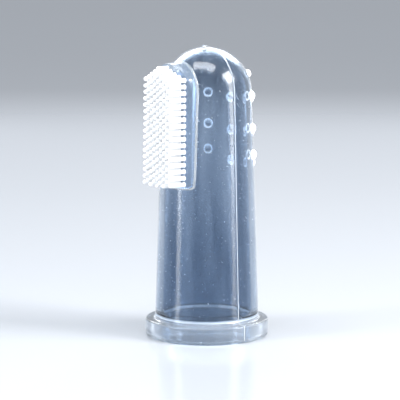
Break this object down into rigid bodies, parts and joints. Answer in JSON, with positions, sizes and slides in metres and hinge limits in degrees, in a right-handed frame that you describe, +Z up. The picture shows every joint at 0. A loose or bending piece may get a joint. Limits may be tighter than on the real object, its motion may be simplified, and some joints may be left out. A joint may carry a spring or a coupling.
{
  "type": "pet finger toothbrush",
  "caption": "Clear silicone sleeve worn on a fingertip, domed at the tip and flanged at its open end, with a pad of short bristles on one side and massage nubs on the other.",
  "frame": {"origin": "centre of the flange's flat bottom face, at the open end where the finger goes in", "axes": "+Z up along the sleeve's axis to the dome, the bristles point along -Y, the mould's parting line runs through +X and -X"},
  "size_m": [0.0234, 0.0236, 0.055],
  "materials": {
    "sleeve_silicone": "clear, bluish, glossy",
    "pad_silicone": "clear, bluish, glossy",
    "flange_silicone": "lightly frosted by its thickness",
    "nub_silicone": "clear, glossy",
    "bristle_silicone": "milky white"
  },
  "bodies": {
    "root": {"base_flange": "flange_silicone", "bristle_row_01": "bristle_silicone", "bristle_row_02": "bristle_silicone", "bristle_row_03": "bristle_silicone", "bristle_row_04": "bristle_silicone", "bristle_row_05": "bristle_silicone", "bristle_row_06": "bristle_silicone", "bristle_row_07": "bristle_silicone", "bristle_row_08": "bristle_silicone", "bristle_row_09": "bristle_silicone", "bristle_row_10": "bristle_silicone", "bristle_row_11": "bristle_silicone", "bristle_row_12": "bristle_silicone", "bristle_row_13": "bristle_silicone", "bristle_row_14": "bristle_silicone", "bristle_row_15": "bristle_silicone", "bristle_row_16": "bristle_silicone", "bristle_row_17": "bristle_silicone", "bristle_row_18": "bristle_silicone", "bristle_row_19": "bristle_silicone", "brush_pad": "pad_silicone", "finger_sleeve": "sleeve_silicone", "massage_nub_dome": "nub_silicone", "massage_nub_left_inner_lower": "nub_silicone", "massage_nub_left_inner_middle": "nub_silicone", "massage_nub_left_inner_upper": "nub_silicone", "massage_nub_left_outer_lower": "nub_silicone", "massage_nub_left_outer_middle": "nub_silicone", "massage_nub_left_outer_upper": "nub_silicone", "massage_nub_right_inner_lower": "nub_silicone", "massage_nub_right_inner_middle": "nub_silicone", "massage_nub_right_inner_upper": "nub_silicone", "massage_nub_right_outer_lower": "nub_silicone", "massage_nub_right_outer_middle": "nub_silicone", "massage_nub_right_outer_upper": "nub_silicone"}
  },
  "joints": []
}
